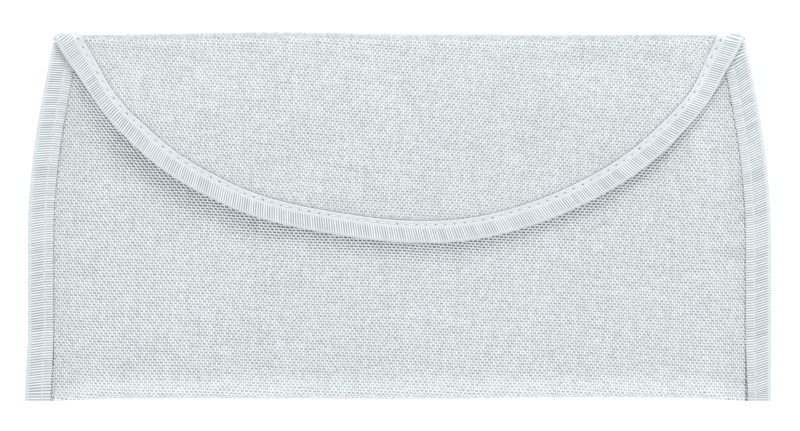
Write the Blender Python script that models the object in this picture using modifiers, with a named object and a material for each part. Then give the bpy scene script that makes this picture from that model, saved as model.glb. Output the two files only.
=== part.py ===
"""Document holder: a flat cloth pouch with a rounded flap and a taped edge, lying closed on its back.

+X is to the right, +Y towards the top fold and +Z out of the front. One length of cloth makes the front
panel, the bottom fold, the back panel, the top fold and the flap. A tape binds both sides and the flap.
"""

import math

import bmesh
import bpy
from mathutils import Vector

# Outline
BODY_WIDTH = 0.2400
TOP_WIDTH = 0.2222
BODY_HEIGHT = 0.1176
BOTTOM_CORNER_DIP = 0.0007
TOP_CORNER_DROP = 0.0007
SIDE_CURVE_HEIGHT = 0.0660
FLAP_DROP = 0.0675
FLAP_SKEW = 0.0017
MOUTH_BELOW_FOLD = 0.0080

# Cloth, tape and the room between pieces
CLOTH = 0.0010
TAPE = 0.0010
GAP = 0.0003
SIDE_TAPE_WIDTH = 0.0084
FLAP_TAPE_WIDTH = 0.0072
POCKET_DEPTH = 0.0048

# How fast the layers part beside the side seams, and how fast the flap rises from its fold
SEAM_MARGIN = 0.0010
CROWN_WIDTH = 0.0170
FLAP_RISE_LENGTH = 0.0220

# The hidden touch fastener: its size, and its middle from the pouch's middle line and the top fold
PATCH_WIDTH = 0.0490
PATCH_HEIGHT = 0.0230
PATCH_THICKNESS = 0.0020
PATCH_CORNER = 0.0025
PATCH_SHIFT = -0.0108
PATCH_BELOW_FOLD = 0.0382
PATCH_MARGIN = 0.0015
PATCH_SLOPE_WIDTH = 0.0075

# Shape numbers without a unit: the sides' bulge, and the two powers of the flap's rounded edge
SIDE_CURVE_BULGE = 0.35
FLAP_ROUNDNESS = 2.2
FLAP_FULLNESS = 0.76

# Soft dents of the front panel, deep as a share of the pocket. Places and sizes are shares of half the
# body's width and of its height, from the middle: across, up, half as wide, half as high, depth
DENTS = (
    (-0.62, 0.02, 0.30, 0.20, 0.075),
    (-0.30, -0.24, 0.34, 0.12, 0.050),
    (0.66, -0.28, 0.26, 0.16, 0.060),
    (0.72, 0.10, 0.16, 0.22, 0.050),
    (-0.86, -0.18, 0.12, 0.10, 0.040),
)

# Mesh counts
PANEL_COLUMNS = 32
BACK_ROWS = 8
FRONT_ROWS = 12
FLAP_ROWS = 18
FOLD_STEPS = 8
SIDE_TAPE_STEPS = 18
FLAP_TAPE_STEPS = 44
CORNER_STEPS = 2
FLAP_LEG_STEPS = 4

# Levels of the middle surfaces, at the side seams and in the middle of the pouch
EDGE_INSET = TAPE + GAP
TOP_TAPE_RISE = EDGE_INSET - TOP_CORNER_DROP
BOTTOM_Y = -(BODY_HEIGHT + BOTTOM_CORNER_DIP + TOP_TAPE_RISE) / 2
TOP_Y = BOTTOM_Y + BODY_HEIGHT + BOTTOM_CORNER_DIP
BACK_SEAM_Z = TAPE + GAP + CLOTH / 2
FRONT_SEAM_Z = BACK_SEAM_Z + CLOTH + GAP
SEAM_TOP_Z = FRONT_SEAM_Z + CLOTH / 2 + GAP + TAPE
FLAP_CORNER_Z = SEAM_TOP_Z + GAP + TAPE + GAP + CLOTH / 2
BACK_Z = CLOTH / 2
FRONT_Z = CLOTH + POCKET_DEPTH + CLOTH / 2
FLAP_FOLD_Z = FRONT_Z + CLOTH + GAP
FLAP_Z = FRONT_Z + CLOTH + GAP + TAPE + GAP
FLAP_OVER_PATCH_Z = FRONT_Z + CLOTH + GAP + PATCH_THICKNESS + GAP

# The top fold at its corners: the radius of the cloth's middle surface, and its axis below the fold's top
CORNER_RADIUS = (FLAP_CORNER_Z - BACK_SEAM_Z) / 2
CORNER_AXIS_DROP = TOP_CORNER_DROP + CLOTH / 2 + CORNER_RADIUS


def smooth_step(share):
    """0 below 0, 1 above 1 and a smooth rise between."""
    share = min(max(share, 0.0), 1.0)
    return share * share * (3.0 - 2.0 * share)


def mix(low, high, share):
    return low + (high - low) * share


def side_half(y):
    """Half the pouch's width over the tape at height y: the sides draw in towards the top fold."""
    share = min(max((TOP_Y - y) / SIDE_CURVE_HEIGHT, 0.0), 1.0)
    draw_in = (BODY_WIDTH - TOP_WIDTH) / 2
    return BODY_WIDTH / 2 - draw_in * (1.0 - share) ** 2 * (1.0 + SIDE_CURVE_BULGE * share)


def cloth_half(y):
    """Half the width of the cloth, whose cut edge lies inside the tape."""
    return side_half(y) - EDGE_INSET


def crown(x, y):
    """0 at the side seams, where the layers lie together, and 1 where the pocket has its full depth."""
    inward = side_half(y) - abs(x)
    return smooth_step((inward - SIDE_TAPE_WIDTH - SEAM_MARGIN) / CROWN_WIDTH)


def back_z(x, y):
    return mix(BACK_SEAM_Z, BACK_Z, crown(x, y))


def dent_depth(x, y):
    """How far the front panel sinks at a point, below its full height."""
    depth = 0.0
    for across, up, half_wide, half_high, deep in DENTS:
        beside = (2 * x / BODY_WIDTH - across) / half_wide
        beyond = (y / BODY_HEIGHT - up) / half_high
        depth += deep * POCKET_DEPTH * (1.0 - smooth_step(math.hypot(beside, beyond)))
    return depth


def front_z(x, y):
    return mix(FRONT_SEAM_Z, FRONT_Z, crown(x, y)) - dent_depth(x, y)


def fold_z(x):
    """Height of the flap where it leaves the top fold."""
    return mix(FLAP_CORNER_Z, FLAP_FOLD_Z, crown(x, TOP_Y))


def over_patch(x, y):
    """1 over the fastener and 0 away from it."""
    beside = abs(x - PATCH_SHIFT) - PATCH_WIDTH / 2 - PATCH_MARGIN
    beyond = abs(TOP_Y - PATCH_BELOW_FOLD - y) - PATCH_HEIGHT / 2 - PATCH_MARGIN
    away = math.hypot(max(beside, 0.0), max(beyond, 0.0))
    return 1.0 - smooth_step(away / PATCH_SLOPE_WIDTH)


def flap_z(x, y):
    """Height of the flap's middle surface: it rises from the fold so that its taped edge rests on the front."""
    full = crown(x, y)
    rise = smooth_step((top_fold_y(x) - y) / FLAP_RISE_LENGTH)
    edge_level = mix(FLAP_CORNER_Z, FLAP_Z, full)
    fold_level = mix(FLAP_CORNER_Z, FLAP_FOLD_Z, full)
    bump = (FLAP_OVER_PATCH_Z - FLAP_Z) * over_patch(x, y)
    return mix(fold_level, edge_level, rise) + bump


def top_radius(x):
    """Radius of the top fold's middle surface."""
    return (fold_z(x) - back_z(x, TOP_Y)) / 2


def top_fold_y(x):
    """Height up the pouch of the top fold's axis: the corners sit lower, to leave room for the tape."""
    return TOP_Y - TOP_CORNER_DROP * (1.0 - crown(x, TOP_Y)) - CLOTH / 2 - top_radius(x)


def bottom_radius(x):
    return (front_z(x, BOTTOM_Y) - back_z(x, BOTTOM_Y)) / 2


def bottom_fold_y(x):
    """Height up the pouch of the bottom fold's axis: the flat corners dip lower than the round middle."""
    return BOTTOM_Y + BOTTOM_CORNER_DIP * crown(x, BOTTOM_Y) + CLOTH / 2 + bottom_radius(x)


def flap_half(drop):
    """Half the width of the flap's cloth at a drop below the top fold."""
    share = min(max(drop / (FLAP_DROP - EDGE_INSET), 0.0), 1.0)
    return (TOP_WIDTH / 2 - EDGE_INSET) * (1.0 - share ** (1.0 / FLAP_FULLNESS)) ** (1.0 / FLAP_ROUNDNESS)


def flap_drop(x):
    """Drop of the flap's cloth edge below the top fold, at x before the skew."""
    share = min(abs(x) / (TOP_WIDTH / 2 - EDGE_INSET), 1.0)
    return (FLAP_DROP - EDGE_INSET) * (1.0 - share**FLAP_ROUNDNESS) ** FLAP_FULLNESS


def skewed(x, drop):
    """The flap hangs a little askew: its x shifts with its drop."""
    return x + FLAP_SKEW * drop / FLAP_DROP


def on_flap(x, length, outward=0.0):
    """A point of the flap's cloth, from x and the length along the cloth below the top fold.

    The length is 0 where the flap leaves the fold, negative round the fold and down the back.
    """
    radius = top_radius(x)
    axis_y = top_fold_y(x)
    turned = math.pi + length / radius
    if turned < 0.0:
        normal = Vector((0.0, 0.0, -1.0))
        point = Vector((x, axis_y + turned * radius, back_z(x, TOP_Y)))
    elif turned < math.pi:
        normal = Vector((0.0, math.sin(turned), -math.cos(turned)))
        point = Vector((x, axis_y, back_z(x, TOP_Y) + radius)) + normal * radius
    else:
        y = axis_y - length
        point = Vector((x, y, flap_z(x, y)))
        normal = height_normal(flap_z, x, y)
    return point + normal * outward


def height_normal(height, x, y):
    """The upward normal of a height field."""
    step = CLOTH / 2
    slope_x = (height(x + step, y) - height(x - step, y)) / (2 * step)
    slope_y = (height(x, y + step) - height(x, y - step)) / (2 * step)
    return Vector((-slope_x, -slope_y, 1.0)).normalized()


def finer_at_sides(u):
    """Spreads a panel's columns so that they lie closer beside the seams. u runs from -1 to 1."""
    return 1.4 * u - 0.4 * u**3


def fold_share(row, first, steps):
    """Share of the way through a run of rows."""
    return min(max((row - first) / steps, 0.0), 1.0)


def front_point(u, row):
    """A point of the front panel: its first rows go round the bottom fold, the rest up to the mouth."""
    x = finer_at_sides(u) * cloth_half(BOTTOM_Y)
    turned = math.pi * fold_share(row, 0, FOLD_STEPS)
    if row <= FOLD_STEPS:
        radius = bottom_radius(x)
        y = bottom_fold_y(x) - radius * math.sin(turned)
        return Vector((x, y, back_z(x, BOTTOM_Y) + radius * (1.0 - math.cos(turned))))
    up = fold_share(row, FOLD_STEPS, FRONT_ROWS)
    y = mix(bottom_fold_y(x), TOP_Y - MOUTH_BELOW_FOLD, up)
    x = finer_at_sides(u) * cloth_half(y)
    return Vector((x, y, front_z(x, y)))


def back_point(u, row):
    """A point of the back panel, between the two folds."""
    x = finer_at_sides(u) * cloth_half(BOTTOM_Y)
    up = fold_share(row, 0, BACK_ROWS)
    low = bottom_fold_y(x) + GAP
    high = top_fold_y(finer_at_sides(u) * cloth_half(TOP_Y)) - GAP
    y = mix(low, high, up)
    x = finer_at_sides(u) * cloth_half(y)
    return Vector((x, y, back_z(x, y)))


def flap_point(u, row):
    """A point of the flap: its first rows go round the top fold, the rest fill the rounded flap."""
    across = finer_at_sides(u)
    if row <= FOLD_STEPS:
        turned = math.pi * fold_share(row, 0, FOLD_STEPS)
        x = across * fold_edge(turned)
        return on_flap(x, (turned - math.pi) * top_radius(x))
    down = fold_share(row, FOLD_STEPS, FLAP_ROWS)
    disc_x = across * math.sqrt(1.0 - down**2 / 2)
    disc_y = down * math.sqrt(1.0 - across**2 / 2)
    x = disc_x * fold_edge(math.pi)
    length = disc_y / math.sqrt(1.0 - disc_x**2) * flap_edge_length(x)
    return on_flap(skewed(x, length), length)


def flap_edge_length(x):
    """Length of the flap's cloth from the fold down to its edge, at x before the skew."""
    return max(flap_drop(x) + top_fold_y(x) - TOP_Y, 0.0)


def fold_edge(turned):
    """Half the cloth's width on the top fold, where turned runs from 0 at the back to pi at the flap."""
    drop = CORNER_AXIS_DROP - CORNER_RADIUS * math.sin(turned)
    return mix(cloth_half(TOP_Y - drop), flap_half(drop), smooth_step(turned / math.pi))


def flap_edge_path():
    """The cloth's edge from the back of the left corner round the flap to the right, as (x, length)."""
    corner = []
    for step in range(FOLD_STEPS):
        turned = math.pi * step / FOLD_STEPS
        corner.append((fold_edge(turned), (turned - math.pi) * CORNER_RADIUS))
    path = [(-x, length) for x, length in corner]
    for step in range(FLAP_TAPE_STEPS + 1):
        x = fold_edge(math.pi) * math.sin(math.pi * (step / FLAP_TAPE_STEPS - 0.5))
        length = flap_edge_length(x)
        path.append((skewed(x, length), length))
    path.extend(reversed(corner))
    return path


def inward_of(path, index):
    """The unit direction into the cloth at a point of an edge path that has the cloth on its right."""
    before = Vector(path[max(index - 1, 0)])
    after = Vector(path[min(index + 1, len(path) - 1)])
    along = (after - before).normalized()
    return Vector((along.y, -along.x))


def tape_profile(leg, low, high, leg_steps=1):
    """The tape's middle line in section, as (inward from the cloth's edge, height), bent round that edge."""
    radius = GAP + TAPE / 2
    along_leg = [leg * (1.0 - step / leg_steps) for step in range(leg_steps)]
    points = [(inward, low) for inward in along_leg]
    for step in range(CORNER_STEPS + 1):
        angle = math.pi / 2 * step / CORNER_STEPS
        points.append((-radius * math.sin(angle), low + radius * (1.0 - math.cos(angle))))
    for step in range(CORNER_STEPS + 1):
        angle = math.pi / 2 * (1.0 - step / CORNER_STEPS)
        points.append((-radius * math.sin(angle), high - radius * (1.0 - math.cos(angle))))
    points.extend((inward, high) for inward in reversed(along_leg))
    return points


def flap_tape_point(path, profile, station, turn):
    inward, outward = profile[turn]
    at = Vector(path[station]) + inward_of(path, station) * inward
    return on_flap(at.x, at.y, outward)


def side_edge_path(side):
    """The cloth's edge up one side, from the bottom corner to the start of the top fold."""
    top = TOP_Y - CORNER_AXIS_DROP - GAP
    path = []
    for step in range(SIDE_TAPE_STEPS + 1):
        y = mix(BOTTOM_Y, top, step / SIDE_TAPE_STEPS)
        path.append((side * cloth_half(y), y))
    return path


def side_tape_point(path, profile, side, station, turn):
    inward, z = profile[turn]
    into = inward_of(path, station)
    if side > 0:
        into = -into
    at = Vector(path[station]) + into * inward
    return Vector((at.x, at.y, z))


def new_object(name, mesh, material, collection):
    mesh.shade_smooth()
    mesh.set_sharp_from_angle(angle=math.radians(40))
    mesh.materials.append(material)
    part = bpy.data.objects.new(name, mesh)
    collection.objects.link(part)
    return part


def grid_sheet(name, columns, rows, place, thickness, material, collection):
    """A sheet from a flat grid whose points are placed by column and row, thickened about its middle."""
    sheet = bmesh.new()
    bmesh.ops.create_grid(sheet, x_segments=columns, y_segments=rows, size=1.0)
    for vert in sheet.verts:
        column = round((vert.co.x + 1.0) / 2 * columns)
        row = round((vert.co.y + 1.0) / 2 * rows)
        vert.co = place(column, row)
    mesh = bpy.data.meshes.new(name)
    sheet.to_mesh(mesh)
    sheet.free()
    part = new_object(name, mesh, material, collection)
    wall = part.modifiers.new("Wall", "SOLIDIFY")
    wall.thickness = thickness
    wall.offset = 0.0
    wall.use_even_offset = True
    return part


def panel(name, rows, place, material, collection):
    """A cloth panel whose place function takes u from -1 to 1 and a row."""

    def at(column, row):
        return place(2.0 * column / PANEL_COLUMNS - 1.0, row)

    return grid_sheet(name, PANEL_COLUMNS, rows, at, CLOTH, material, collection)


def side_binding(name, side, material, collection):
    """The tape round both layers at one side. side is -1 at the left and 1 at the right."""
    path = side_edge_path(side)
    profile = tape_profile(SIDE_TAPE_WIDTH - EDGE_INSET, TAPE / 2, SEAM_TOP_Z - TAPE / 2)

    def at(column, row):
        return side_tape_point(path, profile, side, column, row)

    return grid_sheet(name, len(path) - 1, len(profile) - 1, at, TAPE, material, collection)


def flap_binding(name, material, collection):
    """The tape round the flap's edge, which starts at the back of one top corner and ends at the other."""
    path = flap_edge_path()
    reach = CLOTH / 2 + GAP + TAPE / 2
    profile = tape_profile(FLAP_TAPE_WIDTH - EDGE_INSET, -reach, reach, FLAP_LEG_STEPS)

    def at(column, row):
        return flap_tape_point(path, profile, column, row)

    return grid_sheet(name, len(path) - 1, len(profile) - 1, at, TAPE, material, collection)


def closure_patch(name, material, collection):
    """The touch fastener between the front panel and the flap, as one plain pad."""
    pad = bmesh.new()
    bmesh.ops.create_cube(pad, size=1.0)
    bmesh.ops.scale(pad, vec=(PATCH_WIDTH, PATCH_HEIGHT, PATCH_THICKNESS), verts=pad.verts)
    upright = [edge for edge in pad.edges if abs(edge.verts[0].co.z - edge.verts[1].co.z) > GAP]
    bmesh.ops.bevel(pad, geom=upright, offset=PATCH_CORNER, segments=4, profile=0.5, affect="EDGES")
    mesh = bpy.data.meshes.new(name)
    pad.to_mesh(mesh)
    pad.free()
    part = new_object(name, mesh, material, collection)
    middle_z = FRONT_Z + CLOTH / 2 + GAP + PATCH_THICKNESS / 2
    part.location = (PATCH_SHIFT, TOP_Y - PATCH_BELOW_FOLD, middle_z)
    return part


def plain_material(name, colour, roughness):
    material = bpy.data.materials.new(name)
    material.use_nodes = True
    shader = material.node_tree.nodes["Principled BSDF"]
    shader.inputs["Base Color"].default_value = (*colour, 1.0)
    shader.inputs["Roughness"].default_value = roughness
    shader.inputs["Metallic"].default_value = 0.0
    return material


def cloth_material():
    return plain_material("pale_grey_cloth", (0.69, 0.73, 0.75), 0.80)


def tape_material():
    return plain_material("pale_grey_ribbed_tape", (0.66, 0.71, 0.72), 0.75)


def fastener_material():
    return plain_material("pale_grey_touch_fastener", (0.60, 0.64, 0.66), 0.95)


def clear_scene():
    for old in list(bpy.data.objects):
        bpy.data.objects.remove(old, do_unlink=True)


def main():
    clear_scene()
    holder = bpy.data.collections.new("document_holder")
    bpy.context.scene.collection.children.link(holder)
    cloth = cloth_material()
    tape = tape_material()
    panel("back_panel", BACK_ROWS, back_point, cloth, holder)
    panel("front_panel", FOLD_STEPS + FRONT_ROWS, front_point, cloth, holder)
    panel("flap", FOLD_STEPS + FLAP_ROWS, flap_point, cloth, holder)
    side_binding("left_binding", -1, tape, holder)
    side_binding("right_binding", 1, tape, holder)
    flap_binding("flap_binding", tape, holder)
    closure_patch("closure_patch", fastener_material(), holder)


main()
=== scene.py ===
"""Looks of the document holder: woven cloth, ribbed tape, stitches, the touch fastener and the stage.

Lengths are in metres. The shape functions repeat those of the part's own source, with finer detail on them.
"""

import math
import random

import bpy
import numpy as np
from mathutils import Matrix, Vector


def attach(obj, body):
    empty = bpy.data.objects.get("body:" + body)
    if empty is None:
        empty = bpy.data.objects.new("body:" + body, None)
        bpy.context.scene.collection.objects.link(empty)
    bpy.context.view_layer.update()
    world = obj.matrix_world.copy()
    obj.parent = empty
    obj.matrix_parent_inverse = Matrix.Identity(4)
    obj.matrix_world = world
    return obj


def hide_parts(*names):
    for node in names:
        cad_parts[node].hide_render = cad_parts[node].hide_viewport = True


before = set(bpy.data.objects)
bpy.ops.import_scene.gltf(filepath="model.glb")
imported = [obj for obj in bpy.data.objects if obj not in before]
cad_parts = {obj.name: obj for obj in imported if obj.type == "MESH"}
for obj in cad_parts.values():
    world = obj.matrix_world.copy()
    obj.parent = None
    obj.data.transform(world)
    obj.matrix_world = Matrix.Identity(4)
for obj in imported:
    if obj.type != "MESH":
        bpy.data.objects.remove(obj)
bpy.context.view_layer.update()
dice = random.Random(11)

# Outline, as in the part's source
BODY_WIDTH = 0.2400
TOP_WIDTH = 0.2222
BODY_HEIGHT = 0.1176
BOTTOM_CORNER_DIP = 0.0007
TOP_CORNER_DROP = 0.0007
SIDE_CURVE_HEIGHT = 0.0660
FLAP_DROP = 0.0675
FLAP_SKEW = 0.0017
MOUTH_BELOW_FOLD = 0.0080
EDGE_INSET = 0.0013
SIDE_TAPE_WIDTH = 0.0084
FLAP_TAPE_WIDTH = 0.0072
SEAM_MARGIN = 0.0010
CROWN_WIDTH = 0.0170
FLAP_RISE_LENGTH = 0.0220
SIDE_CURVE_BULGE = 0.35
FLAP_ROUNDNESS = 2.2
FLAP_FULLNESS = 0.76

# Thinner tape and tighter seams than the solids have, and a pocket as much deeper
CLOTH = 0.0008
TAPE = 0.0005
GAP = 0.0001
FLAP_FLOAT = 0.0013
POCKET_DEPTH = 0.0050

# The touch fastener under the flap
PATCH_WIDTH = 0.0490
PATCH_HEIGHT = 0.0230
PATCH_THICKNESS = 0.0020
PATCH_SHIFT = -0.0108
PATCH_BELOW_FOLD = 0.0382
PATCH_MARGIN = 0.0005
PATCH_SLOPE_WIDTH = 0.0045

# Dents of the front panel, as in the part's source
DENTS = (
    (-0.62, 0.02, 0.30, 0.20, 0.075),
    (-0.30, -0.24, 0.34, 0.12, 0.050),
    (0.66, -0.28, 0.26, 0.16, 0.060),
    (0.72, 0.10, 0.16, 0.22, 0.050),
    (-0.86, -0.18, 0.12, 0.10, 0.040),
)

# Swells of the two folded edges: middle, half width, height
TOP_SWELLS = ((-0.0400, 0.0480, 0.0007), (0.0560, 0.0300, -0.0002))
BOTTOM_SWELLS = ((0.0640, 0.0560, 0.0005), (-0.0600, 0.0500, 0.0001))

# How much higher the top corners stand than in the solids
TOP_CORNER_LIFT = 0.0005

# Wavers of the flap's outline: middle, half width and height, and how far its upper corners draw in
FLAP_EDGE_SWELLS = (
    (-0.0250, 0.0360, -0.00145),
    (-0.0770, 0.0180, 0.00070),
    (0.0220, 0.0200, 0.00030),
    (0.0800, 0.0260, 0.00060),
)
LEFT_DRAW = ((0.0120, 0.0150, 0.0013),)
RIGHT_DRAW = ((0.0090, 0.0120, 0.0010),)

# Soft folds, each a ridge or valley along a line: start x, y, end x, y, half width, height
FRONT_FOLDS = (
    (-0.1090, 0.0040, -0.0800, 0.0090, 0.0035, 0.00018),
    (-0.1090, -0.0140, -0.0800, -0.0110, 0.0040, 0.00016),
    (-0.1080, -0.0060, -0.0700, -0.0020, 0.0032, -0.00016),
    (0.0484, -0.0590, 0.1080, -0.0280, 0.0050, -0.00024),
    (0.0600, -0.0500, 0.1090, -0.0160, 0.0045, 0.00018),
    (-0.0500, -0.0420, 0.0100, -0.0470, 0.0080, 0.00020),
    (-0.1040, 0.0300, -0.0400, -0.0080, 0.0140, -0.00130),
)
FLAP_FOLDS = (
    (-0.0353, 0.0360, -0.0353, 0.0085, 0.0011, -0.00014),
    (0.0137, 0.0330, 0.0137, 0.0075, 0.0011, -0.00014),
    (-0.0218, 0.0100, -0.0150, 0.0060, 0.0022, 0.00012),
    (0.0008, 0.0050, 0.0060, 0.0020, 0.0022, 0.00012),
)
# Places where the flap's edge lifts off the front: middle x, y, reach, height
FLAP_LIFTS = ((-0.0870, 0.0240, 0.0400, 0.0013), (0.0780, 0.0060, 0.0340, 0.0006))

# Weave and grain: pitch of the yarns, and how far rows and columns lean from level and upright
WARP_PITCH = 0.00070
WEFT_PITCH = 0.00091
FRONT_LEAN = (0.047, 0.040)
FLAP_LEAN = (0.079, 0.052)
BACK_LEAN = (-0.020, -0.015)

# Painted light and shade of the folded edges: painted shade on the top fold, painted light on the bottom fold
# and the front near it
TOP_FOLD_PAINTED_SHADE = -0.14
BOTTOM_FOLD_PAINTED_LIGHT = 0.12
BOTTOM_PAINTED_LIGHT_REACH = 0.0060

# Ribs and stitches of the tape
LEFT_RIB_PITCH = 0.00079
RIGHT_RIB_PITCH = 0.00082
FLAP_RIB_PITCH = 0.00079
RIB_HEIGHT = 0.00020
RIB_STEPS = 4
STITCH_PITCH = 0.0032
STITCH_LENGTH = 0.0024
THREAD_RADIUS = 0.00019
HOLE_RADIUS = 0.00034
# How dark the painted shade of the needle holes is, least and most, on the side tapes and on the flap's tape
SIDE_HOLE_PAINTED_SHADE = (0.05, 0.35)
FLAP_HOLE_PAINTED_SHADE = (0.35, 0.85)
SIDE_STITCH_INSET = 0.0056
FLAP_STITCH_INSET = 0.0059
FLAP_RIBS_END = 0.0047
GROOVE_DEPTH = 0.00022
GROOVE_WIDTH = 0.00050

# How the lower ends of the side tapes are drawn aside and narrowed, and over what length
LEFT_FLARE = -0.0009
RIGHT_PINCH = 0.10
FLARE_LENGTH = 0.0220

# How much wider the flap's tape spreads at the top corners, and how far along it
CORNER_SPREAD = 0.16
CORNER_SPREAD_LENGTH = 0.030

# The back tack at the lower left: loops of thread from the first one's place, step by step
TACK_LOOPS = 11
TACK_START = (-0.1117, -0.0488)
TACK_STEP = (-0.00006, -0.0009)
TACK_ZIGZAG = 0.0002
TACK_RADIUS = 0.00042
TACK_TILT = 0.3
TACK_THREAD = 0.00016

# Clear lengths of tape before the first stitch and after the last
SIDE_STITCH_START = 0.0006
FLAP_STITCH_START = 0.0010
STITCH_END = 0.0010

# Needle holes: their radius at the ends over that in the middle, and how flat they lie
HOLE_END_SHARE = 0.4
HOLE_FLATNESS = 0.4

# The photo's frame: its width in pixels, the length that one stands for, and the camera over it
FRAME_PIXELS = 800
PIXEL_LENGTH = 0.0003221
CAMERA_PLACE = (0.00016, 0.00039, 2.0)
FOCUS_LEVEL = 0.005

# Lights: place, size across and power
KEY_PLACE = (0.20, 0.96, 0.66)
KEY_SIZE = 0.50
KEY_POWER = 6.8
FILL_PLACE = (-0.10, -1.00, 0.45)
FILL_SIZE = 0.60
FILL_POWER = 1.8

# The light tent round the pouch: how high its bright walls reach as a sine, and its glow there and above
TENT_WALL_HEIGHT = 0.45
TENT_WALL_GLOW = 1.55
TENT_TOP_GLOW = 0.98

# How far the floor lies below the part's own zero
FLOOR_CLEARANCE = 0.00018
FLOOR_HALF = 1.5

# Mesh counts of the cloth
COLUMNS = 176
FRONT_ROWS = 78
BACK_ROWS = 50
FOLD_ROWS = 14
FLAP_ROWS = 64

# Levels of the middle surfaces, built up from the table
TOP_TAPE_RISE = EDGE_INSET - TOP_CORNER_DROP
BOTTOM_Y = -(BODY_HEIGHT + BOTTOM_CORNER_DIP + TOP_TAPE_RISE) / 2
TOP_Y = BOTTOM_Y + BODY_HEIGHT + BOTTOM_CORNER_DIP
BACK_SEAM_Z = TAPE + GAP + CLOTH / 2
FRONT_SEAM_Z = BACK_SEAM_Z + CLOTH + GAP
SEAM_TOP_Z = FRONT_SEAM_Z + CLOTH / 2 + GAP + TAPE
FLAP_CORNER_Z = SEAM_TOP_Z + GAP + TAPE + GAP + CLOTH / 2
BACK_Z = CLOTH / 2
FRONT_Z = CLOTH + POCKET_DEPTH + CLOTH / 2
FLAP_FOLD_Z = FRONT_Z + CLOTH + GAP
FLAP_Z = FRONT_Z + CLOTH + GAP + TAPE + GAP + FLAP_FLOAT
FLAP_OVER_PATCH_Z = FRONT_Z + CLOTH + GAP + PATCH_THICKNESS + GAP
CORNER_RADIUS = (FLAP_CORNER_Z - BACK_SEAM_Z) / 2
CORNER_AXIS_DROP = TOP_CORNER_DROP + CLOTH / 2 + CORNER_RADIUS

MM = 1000.0


# Shape functions


def smooth_step(share):
    share = min(max(share, 0.0), 1.0)
    return share * share * (3.0 - 2.0 * share)


def mix(low, high, share):
    return low + (high - low) * share


def swell(x, swells):
    """Sum of smooth swells at x."""
    return sum(high * (1.0 - smooth_step(abs(x - middle) / half)) for middle, half, high in swells)


def folds(x, y, lines):
    """Sum of ridges and valleys that fade towards the ends of their lines."""
    height = 0.0
    for start_x, start_y, end_x, end_y, half_width, high in lines:
        run_x = end_x - start_x
        run_y = end_y - start_y
        length = math.hypot(run_x, run_y)
        along = ((x - start_x) * run_x + (y - start_y) * run_y) / length**2
        across = ((x - start_x) * run_y - (y - start_y) * run_x) / length
        fade = smooth_step(along * 4.0 + 0.5) * smooth_step((1.0 - along) * 4.0 + 0.5)
        height += high * fade * math.exp(-((across / half_width) ** 2))
    return height


def side_half(y):
    """Half the pouch's width over the tape at height y."""
    share = min(max((TOP_Y - y) / SIDE_CURVE_HEIGHT, 0.0), 1.0)
    draw_in = (BODY_WIDTH - TOP_WIDTH) / 2
    return BODY_WIDTH / 2 - draw_in * (1.0 - share) ** 2 * (1.0 + SIDE_CURVE_BULGE * share)


def cloth_half(y):
    return side_half(y) - EDGE_INSET


def crown(x, y):
    """0 at the side seams and 1 where the pocket has its full depth."""
    inward = side_half(y) - abs(x)
    return smooth_step((inward - SIDE_TAPE_WIDTH - SEAM_MARGIN) / CROWN_WIDTH)


def back_z(x, y):
    return mix(BACK_SEAM_Z, BACK_Z, crown(x, y))


def dent_depth(x, y):
    depth = 0.0
    for across, up, half_wide, half_high, deep in DENTS:
        beside = (2 * x / BODY_WIDTH - across) / half_wide
        beyond = (y / BODY_HEIGHT - up) / half_high
        depth += deep * POCKET_DEPTH * (1.0 - smooth_step(math.hypot(beside, beyond)))
    return depth


def seam_pucker(x, y):
    """Small gathers of the cloth beside the side tapes, in step with the stitches."""
    away = side_half(y) - abs(x) - SIDE_TAPE_WIDTH
    near = math.exp(-((max(away, 0.0) / 0.0060) ** 2))
    ripple = math.sin(y / 0.0021 + math.sin(y / 0.009)) * 0.6 + math.sin(y / 0.0047 + 1.0 + x * 20.0)
    return 0.00009 * near * ripple


def front_z(x, y):
    level = mix(FRONT_SEAM_Z, FRONT_Z, crown(x, y)) - dent_depth(x, y)
    return level + folds(x, y, FRONT_FOLDS) + seam_pucker(x, y)


def fold_z(x):
    return mix(FLAP_CORNER_Z, FLAP_FOLD_Z, crown(x, TOP_Y))


def over_patch(x, y):
    """1 over the fastener and 0 away from it."""
    beside = abs(x - PATCH_SHIFT) - PATCH_WIDTH / 2 - PATCH_MARGIN
    beyond = abs(TOP_Y - PATCH_BELOW_FOLD - y) - PATCH_HEIGHT / 2 - PATCH_MARGIN
    away = math.hypot(max(beside, 0.0), max(beyond, 0.0))
    return 1.0 - smooth_step(away / PATCH_SLOPE_WIDTH)


def flap_z(x, y):
    """Height of the flap's middle surface."""
    full = crown(x, y)
    rise = smooth_step((top_fold_y(x) - y) / FLAP_RISE_LENGTH)
    edge_level = mix(FLAP_CORNER_Z, FLAP_Z, full)
    fold_level = mix(FLAP_CORNER_Z, FLAP_FOLD_Z, full)
    height = mix(fold_level, edge_level, rise)
    height += (FLAP_OVER_PATCH_Z - FLAP_Z) * over_patch(x, y)
    for middle_x, middle_y, reach, high in FLAP_LIFTS:
        away = math.hypot(x - middle_x, y - middle_y) / reach
        height += high * rise * (1.0 - smooth_step(away))
    ripple = math.sin(x / 0.013 + 0.5) * math.sin(y / 0.011 + 2.0) + 0.6 * math.sin(x / 0.007 + y / 0.009)
    return height + folds(x, y, FLAP_FOLDS) + 0.00006 * rise * ripple


def top_radius(x):
    return (fold_z(x) - back_z(x, TOP_Y)) / 2


def top_fold_y(x):
    """Height up the pouch of the top fold's axis."""
    drop = (TOP_CORNER_DROP - TOP_CORNER_LIFT) * (1.0 - crown(x, TOP_Y))
    return TOP_Y - drop - CLOTH / 2 - top_radius(x) + swell(x, TOP_SWELLS)


def bottom_radius(x):
    return (front_z(x, BOTTOM_Y) - back_z(x, BOTTOM_Y)) / 2


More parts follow.
